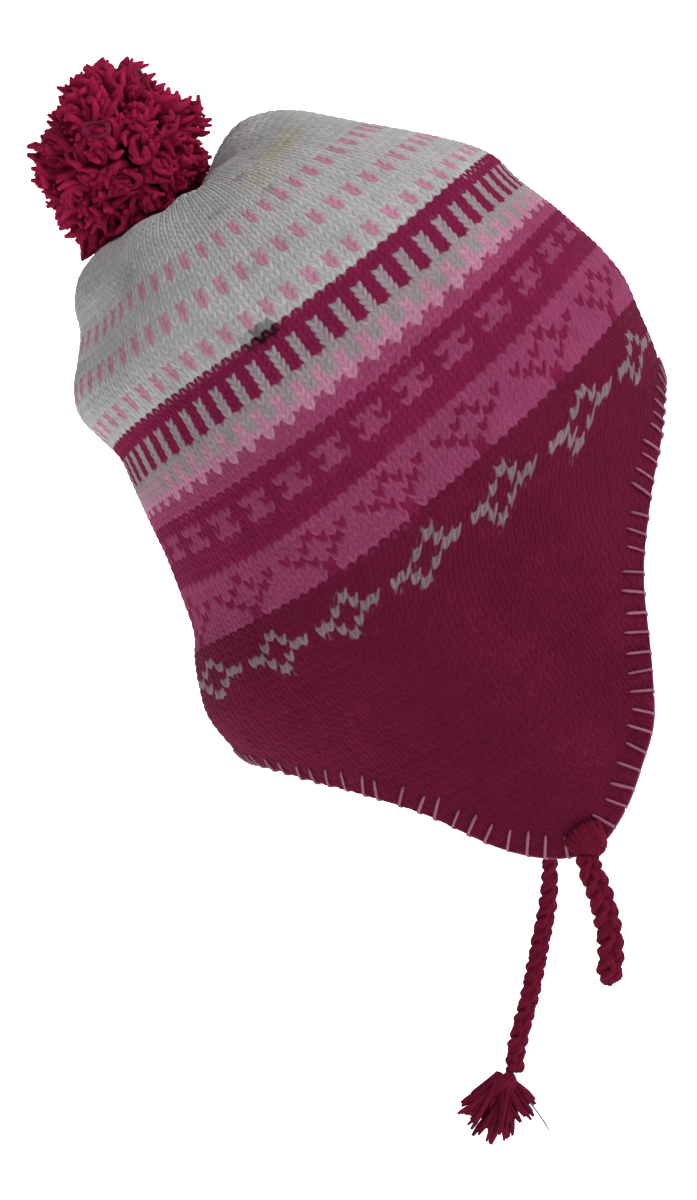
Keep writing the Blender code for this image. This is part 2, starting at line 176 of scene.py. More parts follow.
# Forward, outward and drop of a lock's end, and its radius at root and tip
TASSEL_LOCKS = (
    (-0.0192, 0.0008, 0.0118, 0.0042, 0.0012),
    (-0.0158, 0.0055, 0.0160, 0.0044, 0.0016),
    (-0.0128, -0.0045, 0.0190, 0.0044, 0.0016),
    (-0.0070, 0.0015, 0.0236, 0.0046, 0.0013),
    (-0.0040, 0.0065, 0.0200, 0.0044, 0.0018),
    (-0.0030, -0.0055, 0.0205, 0.0044, 0.0018),
    (0.0006, 0.0008, 0.0232, 0.0040, 0.0015),
    (0.0110, 0.0020, 0.0110, 0.0036, 0.0030),
    (0.0100, -0.0020, 0.0145, 0.0034, 0.0020),
)

# Camera: where the photo was taken from, and the height it takes in at the hat's middle
CAMERA_AWAY = 0.900
CAMERA_FORWARD = 0.01894
CAMERA_UP = -0.16978
VIEW_HEIGHT = 0.4255
SENSOR_HEIGHT = 24.0
CLIP_START = 0.05

# Knitting: columns of stitches by turn, 120 round, seen from column 12 at the back
STITCHES = 120
FIRST_COLUMN = 12
COLUMN_TURN = (
    ("column", "turn"),
    (12, 0.0), (18, 21.9), (26, 46.6), (34, 68.3), (42, 90.0), (50, 109.7),
    (58, 132.5), (66, 155.7), (74, 180.0), (132, 360.0),
)
LEAN = (
    ("row", "degrees"),
    (0, 0.0), (50, 0.0), (58, 3.5), (64, 8.3), (67, 9.0), (110, 9.0),
)

# Bend of the lower bands at each turn: degrees forward, rows up and degrees a row of slope,
# and how much of each a row has
BEND = (
    ("turn", "forward", "up", "slope"),
    (0, 0.0, 1.5, 0.0),
    (15, 5.0, 1.5, 0.0),
    (40, -1.2, 0.6, 0.0),
    (63, -4.4, -0.1, -0.33),
    (84, -3.1, 0.3, -1.0),
    (105, 0.2, 0.95, -0.95),
    (127, 3.4, 1.5, -1.6),
    (150, 4.0, 2.0, -1.5),
    (168, 1.8, 2.0, -0.8),
    (180, 0.0, 2.0, 0.0),
)
SHARE = (
    ("row", "forward", "up", "slope"),
    (0, 0.0, 0.0, 0.0),
    (42, 0.0, 0.0, 0.0),
    (48, 0.0, 0.5, 0.0),
    (56, 0.0, 1.0, 0.0),
    (60, 0.1, 0.9, -0.6),
    (64, 0.8, 0.9, -3.0),
    (67, 1.0, 1.0, 0.0),
    (70, 1.0, 1.0, 3.0),
    (74, 1.0, 1.0, 5.5),
    (80, 1.0, 1.0, 7.0),
    (110, 1.0, 1.0, 7.0),
)
TALL_FROM_ROW = 63
TALLER = 0.09
FINE_FROM_ROW = 12
ROW_TRIES = 8
STITCH_ROWS = 108
STITCH_OVER_EDGE = 0.30
KNIT_PIECES = 4

# Pattern of one repeat of eight columns, from the gathered top down
# First and last row, and a letter of yarn for each column
CHART = (
    (0, 21, "GGGGGGGG"),
    (22, 23, "GPGPGPGP"),
    (24, 26, "GGGGGGGG"),
    (27, 28, "GPGPGPGP"),
    (29, 31, "GGGGGGGG"),
    (32, 33, "GPGPGPGP"),
    (34, 34, "GGGGGGGG"),
    (35, 36, "MMMMMMMM"),
    (37, 40, "MAMAMAMA"),
    (41, 41, "AAAAAAAA"),
    (42, 43, "APAPAPAP"),
    (44, 44, "PPPPPPPP"),
    (45, 45, "KPKPKPKP"),
    (46, 47, "KKKKKKKK"),
    (48, 49, "MMMMMMMM"),
    (50, 50, "MKKKMKKK"),
    (51, 51, "MMKMMMKM"),
    (52, 52, "MKKKMKKK"),
    (53, 55, "MMMMMMMM"),
    (56, 56, "KKKKKKKK"),
    (57, 57, "MKKKKKKK"),
    (58, 58, "KMKMKMKM"),
    (59, 59, "KKMKKKMK"),
    (60, 60, "KMKKKKKM"),
    (61, 62, "MKKKKKKK"),
    (63, 64, "RRRRRRRR"),
    (65, 65, "WRRRRRRR"),
    (66, 66, "RWRRRRRW"),
    (67, 67, "RRWWRWWR"),
    (68, 68, "RWRRRRRW"),
    (69, 69, "WRRRRRRR"),
    (70, 120, "RRRRRRRR"),
)
LETTERS = "GAPKMRW"
CHART_ROWS = 200
BRIGHT_TO_ROW = 50
BRIGHTER = 1.12
ROWS_UNEVEN = 0.015
STITCHES_UNEVEN = 0.035
YARN_SRGB = {
    "G": (0.655, 0.648, 0.645),
    "A": (0.555, 0.510, 0.525),
    "P": (0.680, 0.475, 0.560),
    "K": (0.525, 0.222, 0.355),
    "M": (0.440, 0.092, 0.240),
    "R": (0.362, 0.066, 0.175),
    "W": (0.480, 0.400, 0.430),
}
EDGE_SRGB = (0.570, 0.350, 0.440)
POMPOM_SRGB = (0.620, 0.105, 0.270)
LOOP_SRGB = (0.520, 0.140, 0.270)
TIE_SRGB = (0.390, 0.060, 0.160)

shaker = np.random.default_rng(11)
vary = shaker.uniform


def column(table, name):
    """The named column of a table whose first row names its columns."""
    return np.array([row[table[0].index(name)] for row in table[1:]], float)


def smooth(x, xs, ys):
    """The value at x of a smooth curve through the points (xs, ys)."""
    span = np.diff(xs)
    slope = np.diff(ys) / span
    lean = np.empty(len(ys))
    lean[0] = slope[0]
    lean[-1] = slope[-1]
    lean[1:-1] = (slope[:-1] * span[1:] + slope[1:] * span[:-1]) / (span[:-1] + span[1:])
    x = np.clip(x, xs[0], xs[-1])
    i = np.clip(np.searchsorted(xs, x, side="right") - 1, 0, len(xs) - 2)
    t = (x - xs[i]) / span[i]
    start = (1 + 2 * t) * (1 - t) ** 2 * ys[i] + t * (1 - t) ** 2 * span[i] * lean[i]
    return start + t * t * (3 - 2 * t) * ys[i + 1] + t * t * (t - 1) * span[i] * lean[i + 1]


def curve(table, at, name):
    """The named column's value where the table's first column is at."""
    return smooth(at, column(table, table[0][0]), column(table, name))


def profile(name, row):
    """A measure of the wall at a row, as a share of its named size."""
    return curve(PROFILE, row, name)


def edge_row(turn):
    """The last row of knitting at a turn in radians, the same on both sides."""
    degrees = np.abs((np.degrees(turn) + 180.0) % 360.0 - 180.0)
    return curve(EDGE, degrees, "row")


def smooth_wall(turn, row):
    """Points of the outer face in the hat's own frame, without folds."""
    c = np.cos(turn)
    s = np.sin(turn)
    reach = np.abs(c) * (1 + FULLNESS * s * s)
    settle = np.clip(row / SETTLE_ROWS, 0, 1)
    middle = HALF_LENGTH * (AXIS_SHARE * settle + GATHER_SHARE * (1 - settle))
    front = HALF_LENGTH * profile("front", row)
    back = -HALF_LENGTH * profile("back", row)
    u = middle + reach * np.where(c < 0, front - middle, back - middle)
    y = -HALF_WIDTH * profile("side", row) * s * (1 + FULLNESS * c * c)
    ends = np.where(c < 0, profile("front_up", row), profile("back_up", row))
    v = CROWN_HEIGHT * (c * c * ends + s * s * profile("side_up", row))
    return np.stack([u, y, v], axis=-1)


def outward(turn, row):
    """Unit normals of the smooth wall, facing out."""
    around = smooth_wall(turn + NORMAL_TURN, row) - smooth_wall(turn - NORMAL_TURN, row)
    low = np.maximum(row - NORMAL_ROWS, NORMAL_FIRST_ROW)
    down = smooth_wall(turn, row + NORMAL_ROWS) - smooth_wall(turn, low)
    normal = np.cross(down, around)
    return normal / np.maximum(np.linalg.norm(normal, axis=-1, keepdims=True), 1e-12)


def fold(turn, row):
    """How far the folds push the wall out, in metres."""
    swing = GATHERS * turn + GATHER_SWAY * np.sin(2 * turn)
    near = row / (row + GATHER_START) * np.exp(-(((row - GATHER_ROW) / GATHER_REACH) ** 2))
    out = GATHER_DEPTH * near * np.cos(swing)
    for at, level, half_turn, half_rows, depth in DENTS:
        away = (np.degrees(turn) - at + 180.0) % 360.0 - 180.0
        out = out - depth * np.exp(-((away / half_turn) ** 2) - ((row - level) / half_rows) ** 2)
    return out


def wall_point(turn, row, inside=0.0):
    """Points of the wall, inside metres below its outer face."""
    turn = np.asarray(turn, float)
    row = np.asarray(row, float)
    inside = np.asarray(inside, float)
    share = 1 - INSIDE_SMOOTHER * np.clip(inside / WALL, 0, 1)
    push = fold(turn, row) * share - inside
    return smooth_wall(turn, row) + outward(turn, row) * push[..., None]


SEAT = wall_point(math.pi, SEAT_ROW, WALL)


def to_world(points):
    """Hat frame to row frame: tipped back about the head seat."""
    tip = math.radians(TIP_BACK)
    moved = np.asarray(points, float) - SEAT
    x = math.cos(tip) * moved[..., 0] - math.sin(tip) * moved[..., 2]
    z = math.sin(tip) * moved[..., 0] + math.cos(tip) * moved[..., 2]
    return np.stack([x, moved[..., 1], z], axis=-1)


def world_wall(turn, row, inside=0.0):
    return to_world(wall_point(turn, row, inside))


def unit(vectors):
    """The same vectors, each one long."""
    return vectors / np.linalg.norm(vectors, axis=-1, keepdims=True)


def distances(path):
    """How far along a path each of its points is."""
    return np.concatenate([[0], np.cumsum(np.linalg.norm(np.diff(path, axis=0), axis=1))])


def linear(srgb):
    """Linear colours from sRGB ones."""
    value = np.asarray(srgb, float)
    return np.where(value <= 0.04045, value / 12.92, ((value + 0.055) / 1.055) ** 2.4)


def add_object(name, data):
    made = bpy.data.objects.new(name, data)
    bpy.context.scene.collection.objects.link(made)
    return made


def mesh_object(name, points, faces, look, tint=None, uv=None, sides=4):
    """A smooth-shaded mesh from arrays: faces is (count, sides), tint is a colour per point."""
    points = np.asarray(points, np.float32).reshape(-1, 3)
    faces = np.asarray(faces, np.int32).reshape(-1, sides)
    mesh = bpy.data.meshes.new(name)
    mesh.vertices.add(len(points))
    mesh.vertices.foreach_set("co", points.ravel())
    mesh.loops.add(faces.size)
    mesh.loops.foreach_set("vertex_index", faces.ravel())
    mesh.polygons.add(len(faces))
    mesh.polygons.foreach_set("loop_start", np.arange(len(faces), dtype=np.int32) * sides)
    mesh.polygons.foreach_set("use_smooth", np.ones(len(faces), bool))
    mesh.update(calc_edges=True)
    if tint is not None:
        layer = mesh.color_attributes.new("tint", "FLOAT_COLOR", "POINT")
        full = np.ones((len(points), 4), np.float32)
        full[:, :3] = np.asarray(tint).reshape(-1, 3)
        layer.data.foreach_set("color", full.ravel())
    if uv is not None:
        layer = mesh.uv_layers.new(name="yarn")
        places = np.asarray(uv, np.float32).reshape(-1, 2)[faces.ravel()]
        layer.data.foreach_set("uv", places.ravel())
    mesh.validate()
    mesh.materials.append(look)
    return add_object(name, mesh)


def grid_faces(rows, columns, wrap_columns=False):
    """Quads of a rows by columns grid of points, numbered row by row."""
    i = np.arange(rows - 1)
    j = np.arange(columns if wrap_columns else columns - 1)
    i, j = np.meshgrid(i, j, indexing="ij")
    up = i + 1
    right = (j + 1) % columns
    quads = [i * columns + j, i * columns + right, up * columns + right, up * columns + j]
    return np.stack(quads, axis=-1).reshape(-1, 4)


# A side that no yarn starts along, the share of its radius that a yarn's end keeps,
# the length of yarn that one step of the uv covers, and how fast a yarn's painted shade at its
# start lightens along it
TUBE_SIDE = (0.31, 0.77, 0.55)
TUBE_TIP = 0.6
UV_LENGTH = 0.002
SHADE_FADE_POWER = 0.7


def triangles(quads, *more):
    """The halves of all quads, and more triangles after them."""
    return np.concatenate([quads[:, [0, 1, 2]], quads[:, [0, 2, 3]], *more])


def tube(path, radius, sides):
    """Points, quads, end triangles and uv of a closed tube round a path, its ends drawn in."""
    path = np.asarray(path, float)
    count = len(path)
    way = np.gradient(path, axis=0)
    way /= np.maximum(np.linalg.norm(way, axis=1, keepdims=True), 1e-12)
    side = unit(np.cross(way[0], TUBE_SIDE))
    sideways = []
    for direction in way:
        side = unit(side - direction * (side @ direction))
        sideways.append(side)
    first = np.array(sideways)
    second = np.cross(way, first)
    along = distances(path)
    radius = np.broadcast_to(np.asarray(radius, float), (count,)).copy()
    radius[0] *= TUBE_TIP
    radius[-1] *= TUBE_TIP
    a = 2 * math.pi * np.arange(sides) / sides
    ring = first[:, None] * np.cos(a)[None, :, None] + second[:, None] * np.sin(a)[None, :, None]
    points = path[:, None] + ring * radius[:, None, None]
    faces = grid_faces(count, sides, wrap_columns=True)
    points = np.concatenate([points.reshape(-1, 3), path[:1], path[-1:]])
    j = np.arange(sides)
    right = (j + 1) % sides
    low = np.stack([np.full(sides, count * sides), right, j], axis=1)
    base = (count - 1) * sides
    high = np.stack([np.full(sides, count * sides + 1), base + j, base + right], axis=1)
    u = np.tile(np.arange(sides) / sides, (count, 1))
    v = np.tile(along[:, None] / UV_LENGTH, (1, sides))
    ends = [[0.5, 0.0], [0.5, along[-1] / UV_LENGTH]]
    uv = np.concatenate([np.stack([u, v], axis=-1).reshape(-1, 2), ends])
    return points, faces, np.concatenate([low, high]), uv


def yarns(name, strands, look, deep=1.0):
    """One mesh of yarns, each (path, radius, sides, tint): deep is the painted shade at their
    starts.
    """
    points, quads, caps, uvs, colours = [], [], [], [], []
    start = 0
    for path, radius, sides, tint in strands:
        p, q, c, uv = tube(path, radius, sides)
        points.append(p)
        quads.append(q + start)
        caps.append(c + start)
        uvs.append(uv)
        # Painted shade: each yarn starts darker, by deep, and lightens to its own tint at its end
        start_shade = np.repeat(np.linspace(deep, 1.0, len(path)) ** SHADE_FADE_POWER, sides)
        start_shade = np.concatenate([start_shade, [deep ** SHADE_FADE_POWER, 1.0]])
        colours.append(tint[None] * start_shade[:, None])
        start += len(p)
    quads = np.concatenate(quads)
    split = triangles(quads, *caps)
    points, colours, uvs = (np.concatenate(parts) for parts in (points, colours, uvs))
    return mesh_object(name, points, split, look, colours, uvs, sides=3)


def link(tree, source, out, target, into):
    """A link from an output to an input."""
    tree.links.new(source.outputs[out], target.inputs[into])


def put(made, values):
    """Set these values at a node's inputs."""
    for name, value in values.items():
        made.inputs[name].default_value = value


def node(tree, kind, values=None, operation=None):
    """A new node with these values at its inputs."""
    made = tree.nodes.new(kind)
    put(made, values or {})
    if operation:
        made.operation = operation
    return made


def material(name):
    """A new material, its node tree and its shader."""
    made = bpy.data.materials.new(name)
    made.use_nodes = True
    return made, made.node_tree, made.node_tree.nodes["Principled BSDF"]


def yarn_material(name, sheen, twist, fuzz, hollow_shade=0.55):
    """Matte yarn: colour from each point's tint, plied twist from the uv, fine fibres as bump, and
    their hollows darker in colour, partly their own tone and partly painted shade.
    """
    made, tree, shader = material(name)
    tint = node(tree, "ShaderNodeAttribute")
    tint.attribute_name = "tint"
    place = node(tree, "ShaderNodeTexCoord")
    grain = {"Scale": 2600.0, "Detail": 4.0, "Roughness": 0.65}
    fibre = node(tree, "ShaderNodeTexNoise", grain)
    patch = node(tree, "ShaderNodeTexNoise", {"Scale": 55.0, "Detail": 3.0})
    spin = node(tree, "ShaderNodeMapping", {"Rotation": (0.0, 0.0, 0.7)})
    waves = {"Scale": twist, "Distortion": 1.5, "Detail": 2.0}
    ply = node(tree, "ShaderNodeTexWave", waves)
    wear = {"From Min": 0.25, "From Max": 0.75, "To Min": 0.90, "To Max": 1.09}
    worn = node(tree, "ShaderNodeMapRange", wear)
    # The fibre noise also darkens the colour where its bump is low: partly the fibres' own tone,
    # partly painted shade in their hollows
    depth = {"From Min": 0.3, "From Max": 0.72, "To Min": hollow_shade, "To Max": 1.20}
    fine = node(tree, "ShaderNodeMapRange", depth)
    both = node(tree, "ShaderNodeMath", operation="MULTIPLY")
    shade = node(tree, "ShaderNodeVectorMath", operation="SCALE")
    height = node(tree, "ShaderNodeMath", {1: 0.5}, "MULTIPLY_ADD")
    bump = node(tree, "ShaderNodeBump", {"Strength": fuzz, "Distance": 0.0002})
    for source, out, target, into in (
        (place, "Object", fibre, "Vector"),
        (place, "Object", patch, "Vector"),
        (place, "UV", spin, "Vector"),
        (spin, "Vector", ply, "Vector"),
        (patch, "Fac", worn, "Value"),
        (fibre, "Fac", fine, "Value"),
        (worn, "Result", both, 0),
        (fine, "Result", both, 1),
        (tint, "Color", shade, 0),
        (both, "Value", shade, "Scale"),
        (shade, "Vector", shader, "Base Color"),
        (shade, "Vector", shader, "Sheen Tint"),
        (ply, "Fac", height, 0),
        (fibre, "Fac", height, 2),
        (height, "Value", bump, "Height"),
        (bump, "Normal", shader, "Normal"),
    ):
        link(tree, source, out, target, into)
    put(shader, {"Roughness": 0.92, "Specular IOR Level": 0.08})
    put(shader, {"Sheen Weight": sheen, "Sheen Roughness": 0.5})
    return made


def camera():
    """A level camera where the photo was taken from."""
    data = bpy.data.cameras.new("camera")
    data.sensor_fit = "VERTICAL"
    data.sensor_height = SENSOR_HEIGHT
    data.lens = SENSOR_HEIGHT * CAMERA_AWAY / VIEW_HEIGHT
    data.clip_start = CLIP_START
    made = add_object("camera", data)
    made.location = (CAMERA_FORWARD, -CAMERA_AWAY, CAMERA_UP)
    made.rotation_euler = (math.radians(90.0), 0.0, 0.0)
    bpy.context.scene.camera = made


SMALL_TURN = 0.01
RIM_REACH = 0.5
RIM_STEPS = 41


def tie_turn(side):
    """The turn of a flap's tie: side is 1 for the wearer's right and -1 for the left."""
    return math.radians(TIE_TURN) * side


def root_place(side, across, along, height):
    """A point of a tie's pad: across and along it in metres, height above the flap."""
    turn = tie_turn(side)
    centre_row = float(edge_row(np.array(turn))) - ROOT_ABOVE_EDGE
    base = wall_point(turn, centre_row)
    per_turn = np.linalg.norm(wall_point(turn + SMALL_TURN, centre_row) - base) / SMALL_TURN
    per_row = np.linalg.norm(wall_point(turn, centre_row + 1.0) - base)
    inside = -np.asarray(height, float)
    return world_wall(turn + across / per_turn, centre_row + along / per_row, inside)


def root_points(side):
    """The points of a tie's pad as the part's source makes it."""
    points = []
    for thick in (ROOT_THICK, 0.0):
        points.append(root_place(side, np.array(0.0), np.array(0.0), GAP + thick))
        for k in range(1, ROOT_ROUNDS + 1):
            ring = k / ROOT_ROUNDS
            height = GAP + thick * math.sqrt(1 - ROOT_FLATTEN * ring * ring)
            for j in range(ROOT_SIDES):
                a = 2 * math.pi * j / ROOT_SIDES
                across = ROOT_HALF_WIDTH * ring * math.cos(a) * (1 - ROOT_TAPER * math.sin(a))
                along = ROOT_HALF_HEIGHT * ring * math.sin(a)
                points.append(root_place(side, np.array(across), np.array(along), height))
    return np.array(points)


def tie_start(side):
    """Where a tie leaves its root: below the pad and the flap's tip, in the row frame."""
    pad = root_points(side)
    turns = tie_turn(side) + np.linspace(-RIM_REACH, RIM_REACH, RIM_STEPS)
    rim = world_wall(turns, edge_row(turns) + ROUND_ROWS, WALL / 2)
    low = min(pad[:, 2].min(), rim[:, 2].min()) - TIE_CLEAR
    return np.array([pad[:, 0].mean(), pad[:, 1].mean(), low])


def tie_path(side, table, length):
    """Points down the middle of a hanging tie, in the row frame."""
    drop = length * column(table, "drop")
    forward = length * column(table, "forward")
    out = length * column(table, "outward") * -side
    return tie_start(side) + np.stack([forward, out, -drop], axis=1)


def even(path, step):
    """The path's points set evenly along it, on a smooth curve through them."""
    along = distances(path)
    at = np.linspace(0, along[-1], max(4, int(along[-1] / step)))
    return np.stack([smooth(at, along, path[:, k]) for k in range(3)], axis=1), at


BRAID_PITCH = 0.0155
BRAID_DEEP = 0.0008
STRAND_RADIUS = 0.00215
BRAID_OVERLAP = 0.0014
BRAID_ROUND = 0.0036
BRAID_YARNS = 3
BRAID_STEP = 0.0006
BRAID_WIDENS = 0.35
BRAID_END = 0.12
BRAID_LAG = 0.3
YARN_PITCH = 0.010
YARN_AWAY = 0.47
YARN_THICK = 0.60
YARN_UNEVEN = 0.06
YARN_SIDES = 7


def braid(name, path, look, turn_over, narrow_top, wide, into_knot):
    """Three plied strands plaited flat along a path, each of a few yarns and swaying wide metres.

    It starts inside the pad, and ends inside the knot or in a rounded end.
    """
    colour = linear(TIE_SRGB)
    path = np.asarray(path, float)
    first = path[0] + BRAID_OVERLAP * unit(path[0] - path[1])
    last = path[-1] + BRAID_OVERLAP * unit(path[-1] - path[-2])
    whole = [[first], path, [last]] if into_knot else [[first], path]
    line, at = even(np.concatenate(whole), BRAID_STEP)
    way = unit(np.gradient(line, axis=0))
    twist = turn_over(at / at[-1])
    flat = np.stack([np.cos(twist), np.sin(twist), np.zeros(len(at))], axis=1)
    flat = unit(flat - way * (flat * way).sum(axis=1, keepdims=True))
    deep = np.cross(way, flat)
    size = narrow_top + (1 - narrow_top) * np.clip(at / at[-1] / BRAID_WIDENS, 0, 1)
    if not into_knot:
        size = size * np.sqrt(np.clip((at[-1] - at) / BRAID_ROUND, BRAID_END, 1))
    strands = []
    for k in range(3):
        phase = 2 * math.pi * (at / BRAID_PITCH + k / 3)
        sway = wide * size * np.sin(phase)
        lift = BRAID_DEEP * size * np.sin(2 * phase + BRAID_LAG)
        centre = line + flat * sway[:, None] + deep * lift[:, None]
        for j in range(BRAID_YARNS):
            spin = 2 * math.pi * (j / BRAID_YARNS + at / YARN_PITCH)
            away = YARN_AWAY * STRAND_RADIUS * size
            yarn = centre + flat * (away * np.cos(spin))[:, None]
            yarn = yarn + deep * (away * np.sin(spin))[:, None]
            uneven = 1 + YARN_UNEVEN * shaker.normal(size=len(at))
            radius = YARN_THICK * STRAND_RADIUS * size * uneven
            strands.append((yarn, radius, YARN_SIDES, colour * vary(0.86, 1.12)))
    return yarns(name, strands, look)


def right_over(share):
    """How far the flat of the right braid is turned along its length."""
    return 0.25 * share


def left_over(share):
    """How far the flat of the left braid is turned along its length."""
    return 1.35 * (1 - np.clip(share / 0.5, 0, 1))


def column_degrees(c):
    """Where a column of stitches starts, in degrees of turn."""
    past = np.asarray(c, float) - FIRST_COLUMN
    turn = curve(COLUMN_TURN, FIRST_COLUMN + past % STITCHES, "turn")
    return turn + np.floor(past / STITCHES) * 360.0


def bend(c, row, name):
    """How far the lower bands' wales or rows are bent at a column and row, alike on both sides."""
    signed = (column_degrees(c) + 180.0) % 360.0 - 180.0
    most = curve(BEND, np.abs(signed), name)
    if name != "up":
        most = most * np.sign(signed)
    return most * curve(SHARE, row, name)


def stitch_turn(c, row):
    """The turn in radians of a column of stitches at a row of the wall, leaning lower down."""
    degrees = column_degrees(c)
    lean = curve(LEAN, row, "degrees") * np.sin(2 * np.radians(degrees))
    return np.radians(degrees + lean + bend(c, row, "forward") + bend(c, row, "slope"))


def wall_row(c, stitch_row):
    """The row of the wall where a row of stitches lies, taller stitches below the bands."""
    taller = TALLER * np.maximum(stitch_row - TALL_FROM_ROW, 0)
    return stitch_row + taller - bend(c, stitch_row, "up")


def stitch_row(c, row):
    """The row of stitches that lies at a row of the wall."""
    found = np.array(row, float)
    for _ in range(ROW_TRIES):
        found = found - (wall_row(c, found) - row)
    return found


EDGE_GUESS = 80.0
EDGE_TRIES = 14


def edge_table():
    """The last row of the wall at closely set columns all round."""
    c = FIRST_COLUMN + np.linspace(0, STITCHES, 10 * STITCHES + 1)
    row = np.full(c.shape, EDGE_GUESS)
    for _ in range(EDGE_TRIES):
        row = 0.5 * row + 0.5 * edge_row(stitch_turn(c, row))
    return c, row


EDGE_TABLE = edge_table()


def last_row(c):
    """The last row of the wall at a column."""
    at = FIRST_COLUMN + (np.asarray(c, float) - FIRST_COLUMN) % STITCHES
    return np.interp(at, *EDGE_TABLE)


# Stains, and last a patch of painted shade: column, row, half columns and half rows of each, and
# its share of red, green and blue
STAINS_AND_SHADE = (
    (39.3, 34.6, 1.7, 0.8, 0.05, 0.04, 0.04),
    (55.8, 16.5, 4.5, 1.6, 0.95, 0.92, 0.76),
    (49.8, 18.6, 3.0, 1.2, 0.96, 0.93, 0.80),
    (48.5, 16.2, 0.8, 0.7, 0.70, 0.66, 0.60),
    (48.8, 20.7, 0.9, 0.7, 0.62, 0.60, 0.58),
    (42.8, 19.0, 1.2, 0.6, 0.76, 0.75, 0.73),
    (53.0, 14.4, 0.9, 0.6, 0.72, 0.70, 0.64),
    # Painted shade just below the pompom
    (29.0, 20.0, 2.2, 1.5, 0.84, 0.84, 0.84),
)


def chart_colours(row, c):
    """Yarn colours, linear, of stitches at whole rows and columns, with stains and a patch of
    painted shade.
    """
    table = np.full((CHART_ROWS, 8), LETTERS.index("R"))
    for first, last, letters in CHART:
        table[first : last + 1] = [LETTERS.index(letter) for letter in letters]
    row = np.clip(np.asarray(row, int), 0, CHART_ROWS - 1)
    c = np.asarray(c, int)
    letter = table[row, c % 8]
    colours = linear(np.array([YARN_SRGB[name] for name in LETTERS]))[letter]
    bright = (letter == LETTERS.index("K")) & (row < BRIGHT_TO_ROW)
    colours = colours * np.where(bright, BRIGHTER, 1.0)[..., None]
    for at, level, half, high, *stain_and_shade in STAINS_AND_SHADE:
        away = (c - at + STITCHES / 2) % STITCHES - STITCHES / 2
        share = np.exp(-(((away / half) ** 2 + ((row - level) / high) ** 2) ** 2))[..., None]
        colours = colours * (1 + share * (np.array(stain_and_shade) - 1))
    return colours


def knit_shades(row):
    """Small differences between rows and stitches."""
    bands = shaker.normal(1.0, ROWS_UNEVEN, CHART_ROWS)
    return shaker.normal(1.0, STITCHES_UNEVEN, np.shape(row)) * bands[np.asarray(row, int)]


# A leg of a stitch: its rings, where it starts and how far it climbs in rows, how far its foot
# and its top are from the stitch's middle, and its half width, all in columns, and its height
LEG_RINGS = 5
LEG_LOW = -0.46
LEG_TALL = 1.24
LEG_HALF = 0.190
LEG_HIGH = 0.00044
LEG_LIFT = (0.0, 0.80, 1.0, 0.80, 0.0)
LEG_WIDTH = (0.70, 1.00, 1.0, 1.00, 0.75)
LEG_ACROSS = (-1.0, -0.52, 0.52, 1.0)
LEG_UP = (0.0, 0.92, 0.92, 0.0)
# Painted shade across a leg: how much of its lift each point across it keeps, least at its sides
PAINTED_SHADE_ACROSS_LEG = (0.45, 1.0, 1.0, 0.45)
LEG_FOOT = 0.11
LEG_SPREAD = 0.26
# Painted shade at most, where a leg's ends and sides sink into the knitting
PAINTED_LEG_SHADE = 0.12
LEG_OVER_EDGE = 0.12
LEG_BELOW = 0.00005
LEG_UV_LENGTH = 2.2
LEG_UV_ROW = 0.37
SIZE_UNEVEN = 0.07
PLACE_UNEVEN = 0.025
TILT_UNEVEN = 0.05
BASE_INSIDE = 0.00032


def knit_legs(name, rows, cols, step, look):
    """The V-shaped stitches of a stretch of knitting: two raised legs for each row and column."""
    count = len(rows)
    t = np.linspace(0, 1, LEG_RINGS)
    lift = np.array(LEG_LIFT)[None, :, None]
    shape_up = np.array(LEG_UP)[None, None, :]
    centre = LEG_FOOT + LEG_SPREAD * t * t * (3 - 2 * t)
    half = LEG_HALF * np.array(LEG_WIDTH)
    colour = chart_colours(rows, cols) * knit_shades(rows)[:, None]
    size = 1 + SIZE_UNEVEN * shaker.normal(size=(count, 2))
    nudge = PLACE_UNEVEN * shaker.normal(size=(count, 2))
    tilt = TILT_UNEVEN * shaker.normal(size=(count, 2))
    up = LEG_LOW + LEG_TALL * t
    all_points, all_uv, all_tint = [], [], []
    for k, side in enumerate((-1.0, 1.0)):
        wide = half[None, :, None] * np.array(LEG_ACROSS) * size[:, k, None, None]
        across = side * (centre[None, :, None] + wide) + nudge[:, k, None, None]
        across = across + tilt[:, k, None, None] * (t[None, :, None] - 0.5)
        c = cols[:, None, None] + step * across
        level = rows[:, None, None] - up[None, :, None] + np.zeros((1, 1, 4))
        row = wall_row(c, np.maximum(level, 0.3))
        row = np.minimum(row, last_row(c) + LEG_OVER_EDGE)
        height = LEG_HIGH * lift * shape_up * size[:, k, None, None]
        all_points.append(world_wall(stitch_turn(c, row), row, BASE_INSIDE + LEG_BELOW - height))
        u = np.broadcast_to(np.linspace(0, 1, 4)[None, None, :], row.shape)
        v = (LEG_UV_LENGTH * t)[None, :, None] + rows[:, None, None] * LEG_UV_ROW
        all_uv.append(np.stack([u * side, np.broadcast_to(v, row.shape)], axis=-1))
        # Painted shade: each leg is darker towards its ends and sides, where it sinks into the
        # knitting; the tone after it differs at random
        deep = 1 - PAINTED_LEG_SHADE * (1 - lift * np.array(PAINTED_SHADE_ACROSS_LEG)[None, None, :])
        shade_and_tone = deep * vary(0.94, 1.06, (count, 1, 1))
        all_tint.append(colour[:, None, None, :] * shade_and_tone[..., None])
    points, uv, tint = (np.stack(parts, axis=1) for parts in (all_points, all_uv, all_tint))
    starts = np.arange(count * 2) * LEG_RINGS * 4
    faces = (grid_faces(LEG_RINGS, 4)[None] + starts[:, None, None]).reshape(count, 2, -1, 4)
    faces[:, 0] = faces[:, 0, :, ::-1].copy()
    return mesh_object(name, points, faces, look, tint, uv)


PURL_HIGH = 0.00038
PURL_WAVE = 0.16
